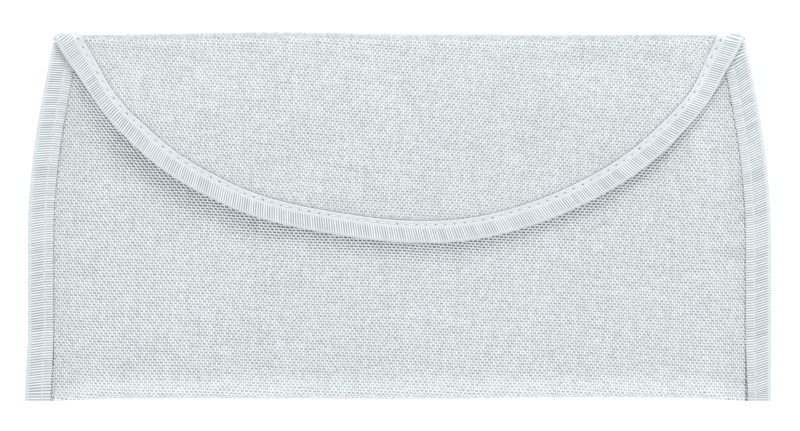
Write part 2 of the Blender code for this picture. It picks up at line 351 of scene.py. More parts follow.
def bottom_fold_y(x):
    dip = BOTTOM_CORNER_DIP * crown(x, BOTTOM_Y)
    return BOTTOM_Y + dip + CLOTH / 2 + bottom_radius(x) + swell(x, BOTTOM_SWELLS)


def flap_half(drop):
    share = min(max(drop / (FLAP_DROP - EDGE_INSET), 0.0), 1.0)
    return (TOP_WIDTH / 2 - EDGE_INSET) * (1.0 - share ** (1.0 / FLAP_FULLNESS)) ** (1.0 / FLAP_ROUNDNESS)


def flap_drop(x):
    share = min(abs(x) / (TOP_WIDTH / 2 - EDGE_INSET), 1.0)
    plain = (FLAP_DROP - EDGE_INSET) * (1.0 - share**FLAP_ROUNDNESS) ** FLAP_FULLNESS
    return plain + swell(x, FLAP_EDGE_SWELLS)


def skewed(x, drop):
    """The flap hangs a little askew, and its upper corners draw in."""
    draw = swell(drop, LEFT_DRAW if x < 0.0 else RIGHT_DRAW)
    return x + FLAP_SKEW * drop / FLAP_DROP - draw * x / (TOP_WIDTH / 2)


def height_normal(height, x, y):
    step = CLOTH / 2
    slope_x = (height(x + step, y) - height(x - step, y)) / (2 * step)
    slope_y = (height(x, y + step) - height(x, y - step)) / (2 * step)
    return Vector((-slope_x, -slope_y, 1.0)).normalized()


def on_flap(x, length, outward=0.0):
    """A point of the flap's cloth, from x and the length along the cloth below the top fold."""
    radius = top_radius(x)
    axis_y = top_fold_y(x)
    turned = math.pi + length / radius
    if turned < 0.0:
        normal = Vector((0.0, 0.0, -1.0))
        point = Vector((x, axis_y + turned * radius, back_z(x, TOP_Y)))
    elif turned < math.pi:
        normal = Vector((0.0, math.sin(turned), -math.cos(turned)))
        point = Vector((x, axis_y, back_z(x, TOP_Y) + radius)) + normal * radius
    else:
        y = axis_y - length
        point = Vector((x, y, flap_z(x, y)))
        normal = height_normal(flap_z, x, y)
    return point + normal * outward


def finer_at_sides(u):
    return 1.25 * u - 0.25 * u**3


def fold_edge(turned):
    """Half the cloth's width on the top fold, from 0 at the back to pi at the flap."""
    drop = CORNER_AXIS_DROP - CORNER_RADIUS * math.sin(turned)
    return mix(cloth_half(TOP_Y - drop), flap_half(drop), smooth_step(turned / math.pi))


def flap_edge_length(x):
    return max(flap_drop(x) + top_fold_y(x) - TOP_Y, 0.0)


def flap_edge_path(steps=420, corner_steps=14):
    """The cloth's edge from the back of the left corner round the flap to the right, as (x, length)."""
    corner = []
    for step in range(corner_steps):
        turned = math.pi * step / corner_steps
        corner.append((fold_edge(turned), (turned - math.pi) * CORNER_RADIUS))
    path = [(-x, length) for x, length in corner]
    for step in range(steps + 1):
        x = fold_edge(math.pi) * math.sin(math.pi * (step / steps - 0.5))
        length = flap_edge_length(x)
        path.append((skewed(x, length), length))
    path.extend(reversed(corner))
    return np.array(path)


def side_edge_path(side, steps=120):
    """The cloth's edge up one side. The direction into the cloth is on the right of the left side's path."""
    top = TOP_Y - CORNER_AXIS_DROP - GAP
    levels = [mix(BOTTOM_Y, top, step / steps) for step in range(steps + 1)]
    return np.array([(side * cloth_half(y), y) for y in levels])


class EdgePath:
    """An edge path measured by its length, with the direction into the cloth at each point of it."""

    def __init__(self, points, into_sign=1.0):
        self.points = points
        steps = np.hypot(*np.diff(points, axis=0).T)
        self.lengths = np.concatenate(([0.0], np.cumsum(steps)))
        self.total = self.lengths[-1]
        along = np.gradient(points, self.lengths, axis=0)
        along /= np.hypot(along[:, 0], along[:, 1])[:, None]
        self.into = np.stack([along[:, 1], -along[:, 0]], axis=1) * into_sign

    def at(self, length, inward):
        """The flat point that lies inward of the edge at a length along it."""
        x = np.interp(length, self.lengths, self.points[:, 0])
        y = np.interp(length, self.lengths, self.points[:, 1])
        into_x = np.interp(length, self.lengths, self.into[:, 0])
        into_y = np.interp(length, self.lengths, self.into[:, 1])
        return x + into_x * inward, y + into_y * inward


# Mesh building


def finished_object(name, verts, faces, material, nodes=(), uvs=None):
    """A smooth mesh object that rides on the pouch. uvs has one pair for each face corner."""
    mesh = bpy.data.meshes.new(name)
    mesh.from_pydata(verts, [], faces)
    mesh.validate()
    mesh.shade_smooth()
    mesh.materials.append(material)
    if uvs is not None:
        layer = mesh.uv_layers.new(name="Weave")
        layer.data.foreach_set("uv", np.asarray(uvs, float).ravel())
    piece = bpy.data.objects.new(name, mesh)
    bpy.context.scene.collection.objects.link(piece)
    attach(piece, "root")
    if nodes:
        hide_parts(*nodes)
    return piece


def grid_faces(rows, columns, closed=False):
    """Quads of a grid of points in rows. A closed grid joins its last column to its first."""
    faces = []
    for row in range(rows - 1):
        for column in range(columns if closed else columns - 1):
            beside = (column + 1) % columns
            low = row * columns
            high = low + columns
            faces.append((low + column, low + beside, high + beside, high + column))
    return faces


def grain(x, y, lean, phase):
    """Cloth coordinates in yarn pitches of a flat point, with the lean and gentle waver of the grain."""
    weft_lean, warp_lean = lean
    waver = 0.00035 * math.sin(x / 0.017 + phase) + 0.00030 * math.sin(y / 0.014 + x / 0.040 + phase)
    bow = 0.0010 * (x / 0.12) ** 2
    u = (x - y * warp_lean + waver) / WARP_PITCH
    v = (y + x * weft_lean + bow + 0.8 * waver * math.sin(x / 0.023)) / WEFT_PITCH
    return u, v


# Cloth: one length from the mouth down the front, round the bottom fold, up the back and over to the flap


def cloth_rows():
    """The bands of the cloth, each a name with the share of the way through it for every row."""
    bands = []
    for band, rows in (
        ("front", FRONT_ROWS),
        ("bottom", FOLD_ROWS),
        ("back", BACK_ROWS),
        ("top", FOLD_ROWS),
        ("flap", FLAP_ROWS),
    ):
        bands.append((band, [row / rows for row in range(rows + 1)]))
    return bands


def cloth_point(band, share, u):
    """A point of the cloth with its flat coordinates, for u from -1 to 1 across and a share of a band."""
    across = finer_at_sides(u)
    if band == "front":
        x = across * cloth_half(BOTTOM_Y)
        y = mix(TOP_Y - MOUTH_BELOW_FOLD, bottom_fold_y(x), share)
        x = across * cloth_half(y)
        return (x, y, front_z(x, y)), (x, y)
    if band == "bottom":
        x = across * cloth_half(BOTTOM_Y)
        turned = math.pi * (1.0 - share)
        radius = bottom_radius(x)
        y = bottom_fold_y(x) - radius * math.sin(turned)
        z = back_z(x, BOTTOM_Y) + radius * (1.0 - math.cos(turned))
        return (x, y, z), (x, bottom_fold_y(x) - radius * (math.pi - turned))
    if band == "back":
        x = across * cloth_half(BOTTOM_Y)
        y = mix(bottom_fold_y(x), top_fold_y(across * cloth_half(TOP_Y)), share)
        x = across * cloth_half(y)
        return (x, y, back_z(x, y)), (x, y)
    if band == "top":
        turned = math.pi * share
        x = across * fold_edge(turned)
        length = (turned - math.pi) * top_radius(x)
        return tuple(on_flap(x, length)), (x, top_fold_y(x) - length)
    disc_x = across * math.sqrt(1.0 - share**2 / 2)
    disc_y = share * math.sqrt(1.0 - across**2 / 2)
    x = disc_x * fold_edge(math.pi)
    length = disc_y / math.sqrt(1.0 - disc_x**2) * flap_edge_length(x) if abs(disc_x) < 1.0 else 0.0
    x = skewed(x, length)
    return tuple(on_flap(x, length)), (x, top_fold_y(x) - length)


BAND_LEANS = {
    "front": FRONT_LEAN,
    "bottom": FRONT_LEAN,
    "back": BACK_LEAN,
    "top": FLAP_LEAN,
    "flap": FLAP_LEAN,
}
BAND_PHASES = {"front": 0.4, "bottom": 0.4, "back": 2.0, "top": 4.0, "flap": 4.0}


def tape_distance(band, flat, flap_path):
    """How far a point of the cloth lies from the inner edge of the tape, in the plane of the cloth."""
    x, y = flat
    if band in ("top", "flap"):
        length = top_fold_y(x) - y
        away = np.hypot(flap_path.points[:, 0] - x, flap_path.points[:, 1] - length)
        return float(away.min()) + EDGE_INSET - FLAP_TAPE_WIDTH
    return side_half(max(y, BOTTOM_Y)) - abs(x) - SIDE_TAPE_WIDTH


def weave_pull(band, x):
    """How much one diagonal of the weave stands out over the other, where the cloth is drawn askew."""
    if band in ("top", "flap"):
        return mix(0.60, 0.00, smooth_step((x + 0.090) / 0.120))
    return 0.22 + 0.40 * (1.0 - smooth_step((x + 0.105) / 0.060))


def fold_closeness(band, share):
    """1 on the steep part of a fold, where the yarns lie closer together, and 0 on the flat cloth."""
    if band not in ("bottom", "top"):
        return 0.0
    return smooth_step((math.sin(math.pi * share) - 0.25) / 0.45)


def fold_painted_light_and_shade(band, share, flat):
    """Painted light and shade on the folds: the cloth painted paler towards the bottom fold as painted light,
    and darker on the top fold as painted shade.
    """
    if band == "top":
        return TOP_FOLD_PAINTED_SHADE * fold_closeness(band, share)
    if band == "bottom":
        return BOTTOM_FOLD_PAINTED_LIGHT * (1.0 - smooth_step(share))
    if band == "front":
        above = flat[1] - bottom_fold_y(flat[0])
        return BOTTOM_FOLD_PAINTED_LIGHT * (1.0 - smooth_step(above / BOTTOM_PAINTED_LIGHT_REACH))
    return 0.0


def make_cloth(material, flap_path):
    verts = []
    distances = []
    pulls = []
    closenesses = []
    fold_light_and_shade_values = []
    uv_rows = []
    for band, shares in cloth_rows():
        rows = []
        for index, share in enumerate(shares):
            row = []
            for column in range(COLUMNS + 1):
                point, flat = cloth_point(band, share, 2.0 * column / COLUMNS - 1.0)
                row.append(grain(*flat, BAND_LEANS[band], BAND_PHASES[band]))
                if index or band == "front":
                    verts.append(point)
                    distances.append(tape_distance(band, flat, flap_path))
                    pulls.append(weave_pull(band, flat[0]))
                    closenesses.append(fold_closeness(band, share))
                    fold_light_and_shade_values.append(fold_painted_light_and_shade(band, share, flat))
            rows.append(row)
        uv_rows.append(rows)
    columns = COLUMNS + 1
    faces = grid_faces(len(verts) // columns, columns)
    uvs = []
    for rows in uv_rows:
        for low, high in zip(rows, rows[1:]):
            for column in range(COLUMNS):
                uvs.extend((low[column], low[column + 1], high[column + 1], high[column]))
    nodes = ("front_panel", "back_panel", "flap")
    cloth = finished_object("cloth", verts, faces, material, nodes, uvs)
    for name, values in (
        ("to_tape", np.array(distances) * MM),
        ("pull", pulls),
        ("close", closenesses),
        ("painted_fold_light_and_shade", fold_light_and_shade_values),
    ):
        attribute = cloth.data.attributes.new(name, "FLOAT", "POINT")
        attribute.data.foreach_set("value", np.array(values))
    wall = cloth.modifiers.new("Wall", "SOLIDIFY")
    wall.thickness = CLOTH
    wall.offset = 0.0
    wall.use_even_offset = True
    return cloth


# Tape: a folded binding whose ribs are in the mesh


def tape_section(leg, stitch_inset, ribs_end, low, high, lip_ribs, selvage):
    """The tape's closed section, with the length from the outermost point of the fold to the stitches.

    Each point has its place as (inward, height), the direction that its ribs stand out in, how strong
    they are there, and its own length from the fold. selvage is the width of the smooth outer edge.
    """
    radius = min(0.00115, (high - low) / 2 - 0.0001)
    reach = leg - EDGE_INSET
    stitch = stitch_inset - EDGE_INSET
    ribs_stop = ribs_end - EDGE_INSET
    arc_start = radius - EDGE_INSET
    rows = [reach - step for step in (0.0, 0.00010, 0.00026)]
    rows += [stitch + step for step in (0.00050, 0.00022, 0.0, -0.00022, -0.00050)]
    rows += [mix(reach - 0.00050, stitch + 0.00080, share) for share in (0.0, 1.0)]
    rows += [mix(stitch - 0.00080, arc_start, share) for share in (0.0, 0.12, 0.24, 0.40, 0.58, 0.76, 0.92)]
    top = []
    for inward in sorted(rows, reverse=True):
        groove = GROOVE_DEPTH * math.exp(-(((inward - stitch) / GROOVE_WIDTH) ** 2))
        edge_fall = 0.00028 * math.exp(-(reach - inward) / 0.00010)
        pressed = 1.0 - 0.6 * math.exp(-(((inward - stitch) / (GROOVE_WIDTH * 0.7)) ** 2))
        strength = pressed * mix(1.0, lip_ribs, smooth_step((inward - ribs_stop) / 0.0005 + 0.5))
        strength *= smooth_step((inward + EDGE_INSET - selvage) / 0.0005 + 0.5)
        strength *= smooth_step((reach - inward) / 0.0004 + 0.5)
        top.append((inward, -groove - edge_fall, strength, inward - arc_start + radius * math.pi / 2))
    points = [(inward, high + fall, 0.0, 1.0, strength, arc) for inward, fall, strength, arc in top]
    for sign, level in ((1.0, high - radius), (-1.0, low + radius)):
        for step in range(5):
            angle = math.pi / 2 * step / 4
            if sign > 0:
                angle = math.pi / 2 - angle
            out, up = math.cos(angle), math.sin(angle) * sign
            inward = arc_start - radius * out
            height = level + radius * up
            points.append((inward, height, -out, up, 0.3, radius * angle * sign))
    for inward, fall, strength, arc in reversed(top):
        points.append((inward, low - fall, 0.0, -1.0, strength, -arc))
    inner_out = TAPE - EDGE_INSET
    soft = 0.0004
    inner = [
        (reach, low + TAPE * 0.8),
        (reach * 0.5, low + TAPE),
        (inner_out + soft, low + TAPE),
        (inner_out, low + TAPE + soft),
        (inner_out, high - TAPE - soft),
        (inner_out + soft, high - TAPE),
        (reach * 0.5, high - TAPE),
        (reach, high - TAPE * 0.8),
    ]
    points += [(inward, height, 0.0, 0.0, 0.0, 0.0) for inward, height in inner]
    return points, stitch - arc_start + radius * math.pi / 2


def make_tape(name, node, path, place, section, rib_pitch, slant, crowding, material):
    """A binding along an edge path. place turns length, inward and height into a point; slant gives how
    far a rib shifts along the path for each metre across the tape, outside and inside of the stitches.
    crowding is how much closer the ribs lie at the path's end than at its start.
    """
    points, stitch_arc = section
    ribs = max(round(path.total / rib_pitch), 1)
    heights = [dice.uniform(0.8, 1.15) for _ in range(ribs + 2)]
    stations = ribs * RIB_STEPS
    verts = []
    strengths = []
    uv_grid = []
    for station in range(stations + 1):
        share = station / stations
        base = path.total * (share + crowding * share * (1.0 - share))
        phase = station / RIB_STEPS
        wave = abs(math.cos(math.pi * phase)) ** 0.8 - 0.5
        lift = RIB_HEIGHT * wave * heights[round(phase)]
        end_fade = smooth_step(min(base, path.total - base) / 0.0060)
        lean, lip_lean = slant(base)
        row = []
        for inward, height, out_inward, out_height, strength, arc in points:
            rib = lift * strength * min(1.0, end_fade * 3.0)
            outside = math.copysign(min(abs(arc), stitch_arc), arc)
            length = base + (lean * outside + lip_lean * (arc - outside)) * end_fade
            verts.append(place(length, inward + out_inward * rib, height + out_height * rib))
            strengths.append(strength)
            row.append((arc * MM, phase))
        uv_grid.append(row)
    size = len(points)
    faces = grid_faces(stations + 1, size, closed=True)
    uvs = []
    for low, high in zip(uv_grid, uv_grid[1:]):
        for column in range(size):
            beside = (column + 1) % size
            uvs.extend((low[column], low[beside], high[beside], high[column]))
    faces.append(tuple(reversed(range(size))))
    uvs.extend(reversed(uv_grid[0]))
    last = stations * size
    faces.append(tuple(range(last, last + size)))
    uvs.extend(uv_grid[-1])
    tape = finished_object(name, verts, faces, material, (node,), uvs)
    attribute = tape.data.attributes.new("ribbed", "FLOAT", "POINT")
    attribute.data.foreach_set("value", np.array(strengths))
    return tape


def side_placer(path, flare, pinch):
    """Places a side's tape, whose lower end is drawn aside by the flare and narrowed by the pinch."""

    def place(length, inward, height):
        near_end = 1.0 - smooth_step(length / FLARE_LENGTH)
        x, y = path.at(length, inward * (1.0 - pinch * near_end))
        return (x + flare * near_end, y, height)

    return place


def flap_placer(path):
    """Places the flap's tape, which spreads where it comes over the top corners."""

    def place(length, inward, height):
        near_end = 1.0 - smooth_step(min(length, path.total - length) / CORNER_SPREAD_LENGTH)
        x, along = path.at(length, inward * (1.0 + CORNER_SPREAD * near_end))
        return tuple(on_flap(x, along, height))

    return place


def left_slant(length):
    slant = mix(0.13, 0.200, smooth_step((length - 0.010) / 0.060))
    return slant - 0.05 * smooth_step((length - 0.085) / 0.020), 0.04


def right_slant(length):
    return -0.31 - 0.10 * smooth_step((length - 0.040) / 0.060), -0.10


def flap_slant(length):
    slant = mix(-0.12, -0.27, smooth_step((length - 0.030) / 0.045))
    return slant - 0.07 * smooth_step((length - 0.255) / 0.020), -0.10


# Stitches


def thread_tube(verts, faces, painted_hole_shades, centres, radii, sideways, upward, sides=6):
    """Adds a closed tube of thread through the centres, with a painted shade of 1 at its ends, where it dips
    into a needle hole.
    """
    first = len(verts)
    for index, (centre, radius) in enumerate(zip(centres, radii)):
        painted_hole_shade = 1.0 if index in (0, len(centres) - 1) else 0.0
        for side in range(sides):
            painted_hole_shades.append(painted_hole_shade)
            angle = 2 * math.pi * side / sides
            offset = sideways * (radius * math.cos(angle)) + upward * (radius * math.sin(angle))
            verts.append(tuple(centre + offset))
    for face in grid_faces(len(centres), sides, closed=True):
        faces.append(tuple(first + index for index in face))
    faces.append(tuple(first + side for side in reversed(range(sides))))
    last = first + (len(centres) - 1) * sides
    faces.append(tuple(last + side for side in range(sides)))


def add_painted_hole_shade(verts, faces, painted_hole_shades, centre, half, sideways, upward, shade):
    """A needle hole as a small flat bead of painted shade. half is the vector from its centre to its end."""
    first = len(painted_hole_shades)
    ends = [centre - half, centre, centre + half]
    radii = [HOLE_RADIUS * HOLE_END_SHARE, HOLE_RADIUS, HOLE_RADIUS * HOLE_END_SHARE]
    thread_tube(verts, faces, painted_hole_shades, ends, radii, sideways, upward * HOLE_FLATNESS)
    painted_hole_shades[first:] = [shade] * (len(painted_hole_shades) - first)


def add_stitches(verts, faces, painted_hole_shades, place, inward, level, up, start, end, holes):
    """A row of stitches along the groove of a tape, each sinking in at both ends, where the thread is painted
    dark as shade. holes is how dark the painted shade of the needle holes is, least and most.
    """
    count = max(round((end - start) / STITCH_PITCH), 1)
    pitch = (end - start) / count
    shares = (0.0, 0.12, 0.3, 0.5, 0.7, 0.88, 1.0)
    for stitch in range(count):
        middle = start + pitch * (stitch + 0.5) + dice.uniform(-0.00010, 0.00010)
        half = STITCH_LENGTH / 2 * dice.uniform(0.92, 1.06)
        aside = dice.uniform(-0.00007, 0.00007)
        twist = dice.uniform(-0.00009, 0.00009)
        centres = []
        radii = []
        for share in shares:
            reach = 2.0 * share - 1.0
            arch = 1.0 - reach**4
            height = level + up * (THREAD_RADIUS * (1.25 * arch - 0.75))
            centres.append(Vector(place(middle + half * reach, inward + aside + twist * reach, height)))
            radii.append(THREAD_RADIUS * (0.55 + 0.45 * math.sqrt(1.0 - reach * reach * 0.98)))
        along = (centres[-1] - centres[0]).normalized()
        raised = Vector(place(middle, inward, level + up * TAPE))
        out = (raised - Vector(place(middle, inward, level))).normalized()
        sideways = along.cross(out).normalized()
        thread_tube(verts, faces, painted_hole_shades, centres, radii, sideways, out)
        hole = centres[-1] + along * ((pitch - STITCH_LENGTH) / 2) + out * (THREAD_RADIUS * 0.6)
        add_painted_hole_shade(verts, faces, painted_hole_shades, hole, along * HOLE_RADIUS, sideways, out, dice.uniform(*holes))


def add_loop(verts, faces, painted_hole_shades, centre, radius, tilt, thread):
    """A small ring of thread, as at a back tack."""
    steps = 12
    sides = 6
    first = len(verts)
    for step in range(steps):
        angle = 2 * math.pi * step / steps
        outward = Vector((math.cos(angle), math.sin(angle), tilt * math.cos(angle)))
        for side in range(sides):
            turn = 2 * math.pi * side / sides
            aside = outward * (radius + thread * math.cos(turn))
            verts.append(tuple(centre + aside + Vector((0, 0, thread * math.sin(turn)))))
            painted_hole_shades.append(0.0)
    for step in range(steps):
        for side in range(sides):
            low = first + step * sides
            high = first + (step + 1) % steps * sides
            beside = (side + 1) % sides
            faces.append((low + side, low + beside, high + beside, high + side))


def finished_stitches(name, verts, faces, painted_hole_shades, material):
    stitches = finished_object(name, verts, faces, material)
    attribute = stitches.data.attributes.new("painted_hole_shade", "FLOAT", "POINT")
    attribute.data.foreach_set("value", np.array(painted_hole_shades))
    return stitches


def make_side_stitches(name, path, place, material, knots):
    verts = []
    faces = []
    painted_hole_shades = []
    groove = SEAM_TOP_Z - GROOVE_DEPTH
    inward = SIDE_STITCH_INSET - EDGE_INSET
    start = SIDE_STITCH_START
    end = path.total - STITCH_END
    add_stitches(verts, faces, painted_hole_shades, place, inward, groove, 1.0, start, end, SIDE_HOLE_PAINTED_SHADE)
    add_stitches(verts, faces, painted_hole_shades, place, inward, GROOVE_DEPTH, -1.0, start, end, SIDE_HOLE_PAINTED_SHADE)
    across = Vector((HOLE_RADIUS, 0.0, 0.0))
    up_pouch = Vector((0.0, 1.0, 0.0))
    upward = Vector((0.0, 0.0, 1.0))
    for x, y in knots:
        centre = Vector((x, y, front_z(x, y) + CLOTH / 2 + 0.0002))
        add_loop(verts, faces, painted_hole_shades, centre, TACK_RADIUS, TACK_TILT, TACK_THREAD)
        # A bead of painted shade in the middle of each loop, for its needle hole
        add_painted_hole_shade(verts, faces, painted_hole_shades, centre, across, up_pouch, upward, 1.0)
    return finished_stitches(name, verts, faces, painted_hole_shades, material)


def make_flap_stitches(path, place, material):
    verts = []
    faces = []
    painted_hole_shades = []
    level = CLOTH / 2 + GAP + TAPE - GROOVE_DEPTH
    inward = FLAP_STITCH_INSET - EDGE_INSET
    end = path.total - STITCH_END
    add_stitches(verts, faces, painted_hole_shades, place, inward, level, 1.0, FLAP_STITCH_START, end, FLAP_HOLE_PAINTED_SHADE)
    return finished_stitches("flap_stitches", verts, faces, painted_hole_shades, material)


# Touch fastener


def rounded_pad(name, middle, width, height, thickness, material, nodes):
    """A pad with rounded corners and soft rims, from a grid bent into a superellipse outline."""
    rings = ((1.0, -0.5), (1.0, 0.2), (0.985, 0.42), (0.95, 0.5), (0.5, 0.5), (0.0, 0.5))
    steps = 96
    verts = []
    for share, level in rings:
        for step in range(steps):
            angle = 2 * math.pi * step / steps
            cosine, sine = math.cos(angle), math.sin(angle)
            x = math.copysign(abs(cosine) ** 0.22, cosine) * width / 2 * share
            y = math.copysign(abs(sine) ** 0.22, sine) * height / 2 * share
            verts.append((middle[0] + x, middle[1] + y, middle[2] + level * thickness))
    faces = grid_faces(len(rings), steps, closed=True)
    faces.append(tuple(reversed(range(steps))))
    return finished_object(name, verts, faces, material, nodes)


# Materials


class Term:
    """A socket that takes part in sums, so that a formula reads as one."""

    def __init__(self, graph, socket):
        self.graph = graph
        self.socket = socket

    def __add__(self, other):
        return self.graph.math("ADD", self, other)

    def __radd__(self, other):
        return self.graph.math("ADD", other, self)

    def __sub__(self, other):
        return self.graph.math("SUBTRACT", self, other)

    def __rsub__(self, other):
        return self.graph.math("SUBTRACT", other, self)

    def __mul__(self, other):
        return self.graph.math("MULTIPLY", self, other)


class Graph:
    """A material with one main shader and helpers that add nodes to it."""

    def __init__(self, name, roughness, sheen=0.0, specular=0.3):
        self.material = bpy.data.materials.new(name)
        self.material.use_nodes = True
        self.tree = self.material.node_tree
        self.shader = self.tree.nodes["Principled BSDF"]
        self.shader.inputs["Roughness"].default_value = roughness
        self.shader.inputs["Specular IOR Level"].default_value = specular
        self.shader.inputs["Sheen Weight"].default_value = sheen
        self.shader.inputs["Sheen Roughness"].default_value = 0.5

    def feed(self, socket, value):
        if isinstance(value, Term):
            self.tree.links.new(value.socket, socket)
        else:
            socket.default_value = value

    def add(self, kind, output, **inputs):
        node = self.tree.nodes.new(kind)
        for name, value in inputs.items():
            self.feed(node.inputs[name], value)
        return Term(self, node.outputs[output])

    def math(self, operation, *values):
        node = self.tree.nodes.new("ShaderNodeMath")
        node.operation = operation
        for socket, value in zip(node.inputs, values):
            self.feed(socket, value)
        return Term(self, node.outputs[0])

    def between(self, value, low, high, from_value=0.0, to_value=1.0):
        """A smooth step from one value to another as the input goes from low to high."""
        node = self.tree.nodes.new("ShaderNodeMapRange")
        node.interpolation_type = "SMOOTHSTEP"
        for name, setting in (
            ("Value", value),
            ("From Min", low),
            ("From Max", high),
            ("To Min", from_value),
            ("To Max", to_value),
        ):
            self.feed(node.inputs[name], setting)
        return Term(self, node.outputs[0])

    def weave_axes(self):
        node = self.tree.nodes.new("ShaderNodeUVMap")
        node.uv_map = "Weave"
        split = self.tree.nodes.new("ShaderNodeSeparateXYZ")
        self.tree.links.new(node.outputs[0], split.inputs[0])
        return Term(self, split.outputs[0]), Term(self, split.outputs[1])

    def vector(self, x, y, z=0.0):
        node = self.tree.nodes.new("ShaderNodeCombineXYZ")
        for socket, value in zip(node.inputs, (x, y, z)):
            self.feed(socket, value)
        return Term(self, node.outputs[0])

    def noise(self, x, y, scale, detail=2.0, shift=0.0):
        place = self.vector(x, y, shift)
        return self.add("ShaderNodeTexNoise", 0, Vector=place, Scale=scale, Detail=detail)

    def object_noise(self, scale, detail=2.0):
        """Noise in the object's own coordinates."""
        node = self.tree.nodes.new("ShaderNodeTexCoord")
        place = Term(self, node.outputs["Object"])
        return self.add("ShaderNodeTexNoise", 0, Vector=place, Scale=scale, Detail=detail)

    def speckle(self, x, y):
        """An even random number for each pair of whole numbers."""
        place = self.vector(x, y)
        return self.add("ShaderNodeTexWhiteNoise", 0, Vector=place)

    def attribute(self, name):
        node = self.tree.nodes.new("ShaderNodeAttribute")
        node.attribute_name = name
        return Term(self, node.outputs["Fac"])

    def paint(self, low_colour, high_colour, share):
        """The base colour, between two colours by a share."""
        node = self.tree.nodes.new("ShaderNodeMix")
        node.data_type = "RGBA"
        self.feed(node.inputs[0], share)
        node.inputs[6].default_value = (*low_colour, 1.0)
        node.inputs[7].default_value = (*high_colour, 1.0)
        self.tree.links.new(node.outputs[2], self.shader.inputs["Base Color"])

    def relief(self, height, distance):
        node = self.tree.nodes.new("ShaderNodeBump")
        node.inputs["Strength"].default_value = 1.0
        node.inputs["Distance"].default_value = distance
        self.feed(node.inputs["Height"], height)
        self.tree.links.new(node.outputs[0], self.shader.inputs["Normal"])


def cloth_material():
    """Plain weave of thick yarn: long warp floats, with the weft as short dark dips between them. The dark of
    the dips is partly the weave's own pattern and partly painted shade of the hollows between the yarns.
    """
    graph = Graph("woven_cloth", roughness=0.72, sheen=0.30)
    u, v = graph.weave_axes()
    u = u + (graph.noise(u, v, 0.35, 2.0) - 0.5) * 0.34
    v = v + (graph.noise(u, v, 0.35, 2.0, 7.0) - 0.5) * 0.34
    warp = graph.math("ROUND", u)
    weft = graph.math("ROUND", v)
    across = graph.math("COSINE", u * math.pi)
    along = graph.math("COSINE", v * math.pi)
    floats = across * along
    rows = 1.0 - along * along * 2.0
    columns = across * across * 2.0 - 1.0
    upslope = graph.math("SINE", v * math.pi)
    slope_floats = across * upslope
    askew = graph.math("SINE", u * math.pi) * upslope * graph.attribute("pull")
    slope_rows = graph.math("SINE", v * 2.0 * math.pi)
    knuckle = graph.speckle(warp, weft) - 0.5
    yarn = graph.noise(u * 0.06, weft * 3.1, 1.0, 1.0, 3.0) + graph.noise(warp * 3.3, v * 0.06, 1.0, 1.0, 5.0)
    mottle = graph.noise(u, v, 0.045, 3.0, 11.0) - 0.5
    # Painted shade in the crease along the tape's inner edge, fading out within half a millimetre of it
    painted_crease_shade = graph.between(graph.attribute("to_tape"), -0.1, 0.4, 1.0, 0.0)
    close = graph.attribute("close")
    # The pattern's dark dips are partly painted shade of the hollows between the yarns
    pattern = ((floats - askew) * 0.24 + rows * 0.305 + columns * 0.10) * (1.0 - close * 0.65)
    swing = pattern + pattern * pattern * 0.60
    tone = 0.615 + swing + knuckle * 0.15 + (yarn - 1.0) * 0.16 + mottle * 0.07
    # The painted light and shade of the folds are added to the tone here
    tone = tone - painted_crease_shade * 0.42 + graph.attribute("painted_fold_light_and_shade")
    graph.paint((0.100, 0.115, 0.120), (0.935, 0.985, 1.0), graph.math("MAXIMUM", tone, 0.0))
    fibre = graph.noise(u * 6.0, v * 6.0, 1.0, 2.0, 2.0) * 0.10
    graph.relief(slope_floats * 0.7 - slope_rows * 0.34 + knuckle * 0.10 + fibre, 0.00030)
    return graph.material


def tape_material():
    """Ribbed tape: dark lines between the ribs, which are painted shade in the grooves, fine yarns along the
    tape, and smooth edges that are brighter for lacking that painted shade.
    """
    graph = Graph("ribbed_tape", roughness=0.62, sheen=0.06)
    across, ribs = graph.weave_axes()
    ribbed = graph.attribute("ribbed")
    hump = graph.math("COSINE", ribs * 2.0 * math.pi) * 0.5 + 0.5
    rib_tone = graph.speckle(graph.math("ROUND", ribs), 0.0) - 0.5
    wear = graph.noise(across, ribs * 0.8, 0.35, 2.0) - 0.5
    yarn = graph.math("SINE", across * 26.0) * 0.5 + 0.5
    # groove here is painted shade in the hollows between the ribs
    groove = (1.0 - hump) * ribbed
    tone = 0.68 + ribbed * 0.25 - groove * 0.72 + rib_tone * ribbed * 0.16 + wear * 0.18
    graph.paint((0.17, 0.19, 0.20), (0.80, 0.85, 0.87), graph.math("MAXIMUM", tone, 0.0))
    graph.relief(yarn * 0.25 + graph.noise(across * 3.0, ribs * 3.0, 1.0, 2.0) * 0.6, 0.00005)
    return graph.material


def thread_material():
    graph = Graph("sewing_thread", roughness=0.45, sheen=0.05)
    noise = graph.object_noise(2600.0)
    # Painted shade: the thread darkens where it dips into a needle hole, and the hole beads are dark with
    # painted shade
    tone = noise * 0.3 + 0.7 - graph.attribute("painted_hole_shade")
    graph.paint((0.08, 0.09, 0.10), (0.82, 0.86, 0.88), graph.math("MAXIMUM", tone, 0.0))
    graph.relief(noise, 0.00005)
    return graph.material


def fastener_material(name, scale, colour):
    graph = Graph(name, roughness=0.9, sheen=0.25)
    noise = graph.object_noise(scale, 4.0)
    dark = tuple(channel * 0.6 for channel in colour)
    graph.paint(dark, colour, graph.between(noise, 0.35, 0.65))
    graph.relief(noise, 0.0004)
    return graph.material


# Stage


def floor_material():
    graph = Graph("pale_floor", roughness=0.9, specular=0.1)
    graph.shader.inputs["Base Color"].default_value = (0.93, 0.93, 0.93, 1.0)
    graph.shader.inputs["Emission Color"].default_value = (1.0, 1.0, 1.0, 1.0)
    graph.shader.inputs["Emission Strength"].default_value = 0.35
    return graph.material


